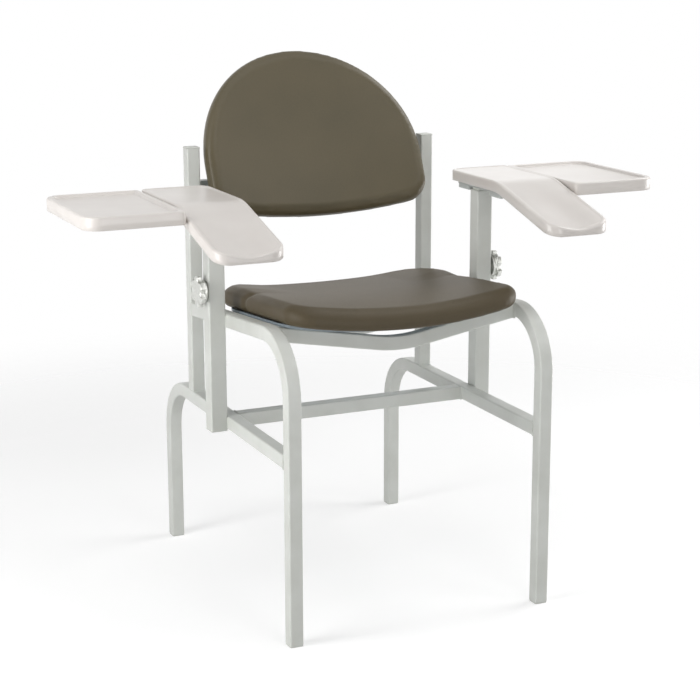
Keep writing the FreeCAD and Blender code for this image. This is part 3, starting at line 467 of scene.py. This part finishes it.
def welds():
    """Beads where the frame's tubes meet, painted over with the frame: rings about ends, seams on sleeves."""
    half = TUBE_SIZE / 2
    inner, rail = SIDE_PLACE - half, LOWER_RAIL_TOP - half
    sideways, rearward, upright = (1, 0, 0), (0, 1, 0), (0, 0, 1)
    along_seat = (0, math.cos(SEAT_SLOPE), -math.sin(SEAT_SLOPE))
    off_seat = (0, math.sin(SEAT_SLOPE), math.cos(SEAT_SLOPE))
    beads = [
        weld_ring((SIDE_PLACE, FRONT_LEG_BACK, rail), sideways, upright),
        weld_ring((SIDE_PLACE, POST_FRONT, RAIL_END_HEIGHT), sideways, off_seat),
        weld_ring((SIDE_PLACE, POST_FRONT + half, LOWER_RAIL_TOP), sideways, rearward),
        weld_ring((inner, STRETCHER_Y, rail), rearward, upright),
        weld_ring((inner, *FRONT_CROSSBAR), along_seat, off_seat),
        weld_ring((inner, *REAR_CROSSBAR), along_seat, off_seat),
    ]
    for y in (-35.1 * MM, -3.3 * MM):
        for low, high in ((320 * MM, 342.5 * MM), (512 * MM, 533 * MM)):
            beads.append(weld_seam((SLEEVE_X, y, low), (SLEEVE_X, y, high)))
    for word, side in (("left", 1), ("right", -1)):
        surface_piece(word + "_weld_beads", beads, side, "frame_paint", "chair", [])


# Upholstery

def even_loop(loop, count):
    """The closed loop again, as count points at even steps along it."""
    closed = np.vstack([loop, loop[:1]])
    steps = np.linalg.norm(np.diff(closed, axis=0), axis=1)
    along = np.concatenate([[0], np.cumsum(steps)])
    at = np.linspace(0, along[-1], count + 1)[:-1]
    return np.column_stack([np.interp(at, along, closed[:, axis]) for axis in (0, 1)])


def drawn_in(loop, distance):
    """Each point of an anticlockwise loop moved inward, square to the loop."""
    ahead = np.roll(loop, -1, axis=0) - np.roll(loop, 1, axis=0)
    ahead /= np.linalg.norm(ahead, axis=1)[:, None]
    return loop + distance * np.column_stack([-ahead[:, 1], ahead[:, 0]])


def dish(radius, across):
    """Rise of a circle of the radius above its lowest point: r - sqrt(r * r - x * x)."""
    return radius - np.sqrt(radius * radius - across * across)


def pad_rings(outline, middle, noses, waist_share, low, high):
    """From the face's middle out, over the rim by a ** 2.4 + b ** 2.4 = 1, and back in underneath."""
    share_out = np.linspace(0, 1, 25)[:-1]
    turn = np.linspace(0, math.pi / 2, 12)
    power = 2 / 2.4
    upper, lower = noses
    face, base = drawn_in(outline, upper), drawn_in(outline, lower)
    rows = [(middle + (face - middle) * share, 1, 0) for share in share_out]
    for angle in turn[::-1]:
        inset = upper * (1 - math.cos(angle) ** power)
        rows.append((drawn_in(outline, inset), math.sin(angle) ** power, 0))
    for angle in turn[1:]:
        inset = lower * (1 - math.cos(angle) ** power)
        rows.append((drawn_in(outline, inset), 0, math.sin(angle) ** power))
    rows += [(middle + (base - middle) * share, 0, 1) for share in share_out[::-1]]
    rings = []
    for flat, rise, fall in rows:
        top, bottom = high(flat), low(flat)
        waist = bottom + (top - bottom) * waist_share
        rings.append(np.column_stack([flat, waist + (top - waist) * rise - (waist - bottom) * fall]))
    return np.array(rings)


def stood_up(rings, place, turn):
    """Rings drawn flat, turned about X from level and carried to their y and z."""
    across = np.array([1.0, 0, 0])
    level = np.array([0, math.cos(turn), math.sin(turn)])
    upright = np.array([0, -math.sin(turn), math.cos(turn)])
    origin = np.array([0, *place])
    return origin + rings[..., :1] * across + rings[..., 1:2] * level + rings[..., 2:] * upright


def bump(value, centre, width):
    """Bell that is 1 at the centre: exp(-((v - c) / w) ** 2)."""
    return np.exp(-((value - centre) / width) ** 2)


def seat_form():
    """Saddle pad: wide soft corners behind, a dished face, and small lobes behind the side pleats."""
    half, front, rear = 226.5 * MM, -290.5 * MM, 152 * MM
    outline = plan_ring((-half, half), (front, rear), (46 * MM, 46 * MM, 112 * MM, 112 * MM), 0, corner=16)
    outline = even_loop(outline, 320)
    bow = 12 * MM * (outline[:, 0] / half) ** 2
    outline[:, 1] += bow * (rear - outline[:, 1]) / (rear - front)

    def low(flat):
        return -21.6 * MM + dish(1094.7 * MM, flat[:, 0])

    def high(flat):
        share = np.clip((flat[:, 1] - front) / (rear - front), 0, 1)
        level = (1 - share) * dish(1167 * MM, flat[:, 0]) + share * (5 * MM + dish(2335 * MM, flat[:, 0]))
        beside = np.clip((np.abs(flat[:, 0]) - 120 * MM) / (60 * MM), 0, 1)
        behind = np.clip((flat[:, 1] + 45 * MM) / (50 * MM), 0, 1)
        return 14.2 * MM + level + 12 * MM * share * (1 - share) + 4.5 * MM * beside * behind

    rings = pad_rings(outline, np.array([0.0, -70 * MM]), (26 * MM, 11 * MM), 0.44, low, high)
    return stood_up(rings, (0, SEAT_RAIL_TOP), -SEAT_SLOPE)


def back_form():
    """Half-round pad, hollow to the sitter, its face running on to a small round rim."""
    half, start, rise, corner = 223.8 * MM, 25.4 * MM, 233.9 * MM, 37 * MM
    arch = np.linspace(0, math.pi, 160)
    over = np.column_stack([half * np.cos(arch), start + rise * np.sin(arch)])
    x = -half * np.cos(np.linspace(0, math.pi, 160))[1:-1]
    past = np.clip(np.abs(x) - (half - corner), 0, None)
    under = -78.4 * MM + 16.6 * MM * (x / half) ** 2 + dish(corner, past)
    outline = even_loop(np.vstack([over, np.column_stack([x, under])]), 300)

    def low(flat):
        return -15 * MM + dish(1265 * MM, flat[:, 0])

    def high(flat):
        share = np.clip((flat[:, 1] + 78 * MM) / (337 * MM), 0, 1)
        return 16.4 * MM + dish(1232 * MM, flat[:, 0]) + 28 * MM * share * (1 - share)

    rings = pad_rings(outline, np.array([0.0, 60 * MM]), (15 * MM, 13 * MM), 0.5, low, high)
    return stood_up(rings, BACK_PLACE, math.pi / 2 - BACK_TILT)


def bake_modifiers(piece):
    """The mesh with its modifiers worked out, kept as the piece's own."""
    graph = bpy.context.evaluated_depsgraph_get()
    baked = bpy.data.meshes.new_from_object(piece.evaluated_get(graph))
    piece.modifiers.clear()
    old = piece.data
    piece.data = baked
    bpy.data.meshes.remove(old)


def read_points(mesh, what="co"):
    """The mesh's points, or the normals at them, as an array."""
    values = np.empty(len(mesh.vertices) * 3)
    if what == "co":
        mesh.vertices.foreach_get("co", values)
    else:
        mesh.vertex_normals.foreach_get("vector", values)
    return values.reshape(-1, 3)


def write_points(mesh, points):
    """The mesh's points moved to an array's."""
    mesh.vertices.foreach_set("co", points.ravel())
    mesh.update()


def smoothed(mesh, values, rounds, moving, pulls=(0.5, -0.52)):
    """Each round draws every value toward its neighbours' mean, then pushes it back by the second pull."""
    edges = np.empty(len(mesh.edges) * 2, dtype=np.int64)
    mesh.edges.foreach_get("vertices", edges)
    edges = edges.reshape(-1, 2)
    number = np.maximum(np.bincount(edges.ravel(), minlength=len(values)), 1)[:, None]
    for pull in pulls * rounds:
        total = np.zeros_like(values)
        np.add.at(total, edges[:, 0], values[edges[:, 1]])
        np.add.at(total, edges[:, 1], values[edges[:, 0]])
        values = values + pull * moving[:, None] * (total / number - values)
    return values


def swelling(piece, held):
    """How far the cover moves as cloth under pressure, its held points fixed, after 20 frames."""
    group = piece.vertex_groups.new(name="held")
    group.add(np.flatnonzero(held > 0.5).tolist(), 1.0, "REPLACE")
    cloth = piece.modifiers.new("cloth", "CLOTH")
    cloth.settings.vertex_group_mass = "held"
    cloth.settings.use_pressure = True
    cloth.settings.uniform_pressure_force = 4.0
    cloth.settings.tension_stiffness = 18
    cloth.settings.compression_stiffness = 18
    cloth.settings.bending_stiffness = 1.2
    cloth.settings.effector_weights.gravity = 0
    cloth.collision_settings.use_collision = False
    cloth.point_cache.frame_start = 1
    cloth.point_cache.frame_end = 20
    scene = bpy.context.scene
    for count in range(1, 21):
        scene.frame_set(count)
    graph = bpy.context.evaluated_depsgraph_get()
    move = read_points(piece.evaluated_get(graph).data) - read_points(piece.data)
    piece.modifiers.clear()
    piece.vertex_groups.clear()
    scene.frame_set(1)
    return move


def cushion(name, node, slot, rings, behind, pleats=None):
    """Foam pad under stretched vinyl: blown up as cloth with its base held, at most 3 mm, then pleated."""
    piece = surface_piece(name, [rings], 1, slot, "chair", (node,))
    even = piece.modifiers.new("even_mesh", "REMESH")
    even.mode = "VOXEL"
    even.voxel_size = 5 * MM
    bake_modifiers(piece)
    mesh = piece.data
    held = np.clip((read_points(mesh, "normal") @ np.array(behind) - 0.75) / 0.2, 0, 1)
    free = 1 - held
    write_points(mesh, smoothed(mesh, read_points(mesh), 10, free))
    points, normals = read_points(mesh), read_points(mesh, "normal")
    move = swelling(piece, held)
    lift = np.sum(move * normals, axis=1)[:, None]
    lift = np.clip(smoothed(mesh, lift, 30, free, (0.5,)), 0, 3 * MM)
    facing = np.clip(-(normals @ np.array(behind)) / 0.8, 0, 1)[:, None]
    points = points + normals * lift * facing
    if pleats:
        points = points - normals * (pleats(points) * free)[:, None]
    write_points(mesh, smoothed(mesh, points, 3, free))
    finer = piece.modifiers.new("finer", "SUBSURF")
    finer.levels = finer.render_levels = 1
    bake_modifiers(piece)
    mesh = piece.data
    mesh.polygons.foreach_set("use_smooth", np.ones(len(mesh.polygons), dtype=bool))


def side_pleats(points):
    """Depth of the soft fold down each side of the seat, where the cover turns the rear corner."""
    outward = np.clip((np.abs(points[:, 0]) - 188 * MM) / (22 * MM), 0, 1)
    return 4 * MM * bump(points[:, 1], -44 * MM, 9 * MM) * outward


def upholstery():
    """Seat and back pads, each held where it lies on its pan or board."""
    board_side = (0, math.cos(BACK_TILT), -math.sin(BACK_TILT))
    cushion("seat_pad", "seat_cushion", "seat_vinyl", seat_form(), (0, 0, -1), side_pleats)
    cushion("back_pad", "back_cushion", "back_vinyl", back_form(), board_side)


# Studio

def camera():
    """Camera at the photograph's angle, from its place, heading, tilt and roll."""
    scene = bpy.context.scene
    holder = bpy.data.objects.new("camera", bpy.data.cameras.new("camera"))
    scene.collection.objects.link(holder)
    yaw, pitch, roll = (math.radians(a) for a in (24.28, -13.73, -0.13))
    ahead = np.array([math.sin(yaw) * math.cos(pitch), math.cos(yaw) * math.cos(pitch), math.sin(pitch)])
    side = np.array([math.cos(yaw), -math.sin(yaw), 0.0])
    above = np.cross(side, ahead)
    matrix = np.eye(4)
    matrix[:3, 0] = side * math.cos(roll) + above * math.sin(roll)
    matrix[:3, 1] = above * math.cos(roll) - side * math.sin(roll)
    matrix[:3, 2] = -ahead
    matrix[:3, 3] = (-1.34722, -2.99834, 1.23882)
    holder.matrix_world = Matrix(matrix.tolist())
    holder.data.sensor_width = 36.0
    holder.data.lens = 36.0 * 1778.44 / 700
    holder.data.clip_end = 50.0
    scene.camera = holder


def seen_rays(tree):
    """1 for what the camera, reflections and glass see, and 0 for light that falls on a surface."""
    path = add(tree, "ShaderNodeLightPath")
    seen = path.outputs["Is Camera Ray"]
    for kind in ("Is Glossy Ray", "Is Transmission Ray"):
        seen = add(tree, "ShaderNodeMath", {0: seen, 1: path.outputs[kind]}, operation="MAXIMUM").outputs[0]
    return seen


def white_room():
    """Room that is seen as white and gives the object only a dim light from all sides."""
    world = bpy.data.worlds.new("white_room")
    bpy.context.scene.world = world
    world.use_nodes = True
    tree = world.node_tree
    tree.nodes.clear()
    strength = add(tree, "ShaderNodeMapRange", {"Value": seen_rays(tree), "To Min": 0.11, "To Max": 1.0})
    back = add(tree, "ShaderNodeBackground", {"Color": (1, 1, 1, 1), "Strength": strength.outputs[0]})
    add(tree, "ShaderNodeOutputWorld", {"Surface": back.outputs[0]})


def lamps():
    """Round soft boxes, with their place, aim, width and watts: overhead, left, front, behind and right."""
    for name, place, aim, size, power in (
        ("overhead_box", (0.0, -0.2, 3.0), (0, 0, 0.6), 2.0, 10),
        ("left_high_box", (-1.8, -0.4, 2.6), (0, 0, 0.6), 1.4, 10),
        ("left_low_box", (-2.4, -0.6, 0.45), (0, 0, 0.5), 1.2, 18),
        ("left_near_box", (-1.25, -0.45, 0.6), (0, 0, 0.5), 0.8, 3),
        ("left_middle_box", (-2.0, -0.2, 1.6), (0, 0, 0.7), 0.7, 10),
        ("front_low_box", (0.2, -3.0, 0.45), (0, 0, 0.5), 1.2, 16),
        ("front_right_box", (1.6, -2.0, 2.3), (0, 0, 0.6), 1.4, 10),
        ("front_top_box", (0.1, -1.6, 2.8), (0, 0.1, 0.8), 0.9, 8),
        ("rear_right_box", (1.3, 2.0, 1.4), (0, 0, 0.6), 1.0, 1.5),
        ("right_high_box", (1.9, 0.2, 2.3), (0, 0, 0.6), 1.4, 24),
        ("right_low_box", (2.4, -0.4, 0.45), (0, 0, 0.5), 1.2, 24),
    ):
        lamp = bpy.data.lights.new(name, "AREA")
        lamp.shape = "DISK"
        lamp.size = size
        lamp.energy = power
        holder = bpy.data.objects.new(name, lamp)
        bpy.context.scene.collection.objects.link(holder)
        holder.location = place
        holder.rotation_euler = (Vector(aim) - Vector(place)).to_track_quat("-Z", "Y").to_euler()
        holder.visible_camera = False


def floor():
    """Pale floor that keeps the shadow near the chair and clears away into the white room further out."""
    reach = 4.0
    corners = [(-reach, -reach, 0), (reach, -reach, 0), (reach, reach, 0), (-reach, reach, 0)]
    mesh = bpy.data.meshes.new("floor")
    mesh.from_pydata(corners, [], [(0, 1, 2, 3)])
    piece = bpy.data.objects.new("floor", mesh)
    bpy.context.scene.collection.objects.link(piece)
    material, tree, surface, place = start_material("pale_floor", Roughness=0.9, Specular_IOR_Level=0.1)
    surface.inputs["Base Color"].default_value = (0.62, 0.62, 0.62, 1)
    seen = seen_rays(tree)
    lift = add(tree, "ShaderNodeMath", {0: seen, 1: 0.5}, operation="MULTIPLY").outputs[0]
    glow = add(tree, "ShaderNodeEmission", {"Color": (1, 1, 1, 1), "Strength": lift})
    both = add(tree, "ShaderNodeAddShader", {0: surface.outputs[0], 1: glow.outputs[0]})
    distance = add(tree, "ShaderNodeVectorMath", {0: place}, operation="LENGTH").outputs["Value"]
    fade = add(
        tree, "ShaderNodeMapRange", {"Value": distance, "From Min": 0.9, "From Max": 2.2},
        interpolation_type="SMOOTHSTEP",
    ).outputs[0]
    fade = add(tree, "ShaderNodeMath", {0: fade, 1: seen}, operation="MULTIPLY").outputs[0]
    clear = add(tree, "ShaderNodeBsdfTransparent")
    mixed = add(tree, "ShaderNodeMixShader", {0: fade, 1: both.outputs[0], 2: clear.outputs[0]})
    output = next(node for node in tree.nodes if node.type == "OUTPUT_MATERIAL")
    tree.links.new(mixed.outputs[0], output.inputs["Surface"])
    mesh.materials.append(material)


dress_frame()
arm_pieces()
welds()
upholstery()
camera()
white_room()
lamps()
floor()
bpy.context.scene.view_settings.view_transform = "Standard"
